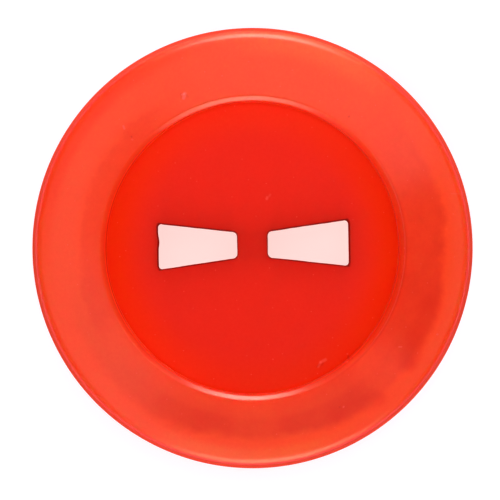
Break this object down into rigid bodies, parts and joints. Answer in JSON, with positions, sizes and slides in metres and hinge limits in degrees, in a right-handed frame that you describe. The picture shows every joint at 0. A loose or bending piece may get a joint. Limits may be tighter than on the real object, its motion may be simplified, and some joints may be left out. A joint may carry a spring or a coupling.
{
  "type": "sew-through button",
  "caption": "Round moulded plastic button with a crowned rim, a round well and a pair of wedge-shaped thread holes, sewn flat on its back to fasten a garment.",
  "frame": {"origin": "centre of the flat back, which rests on the cloth", "axes": "+Z out of the face, away from the cloth; +X along the row of thread holes"},
  "size_m": [0.0228, 0.0228, 0.0036],
  "materials": {
    "red_plastic": "gloss"
  },
  "bodies": {
    "root": {"button": "red_plastic"}
  },
  "joints": []
}
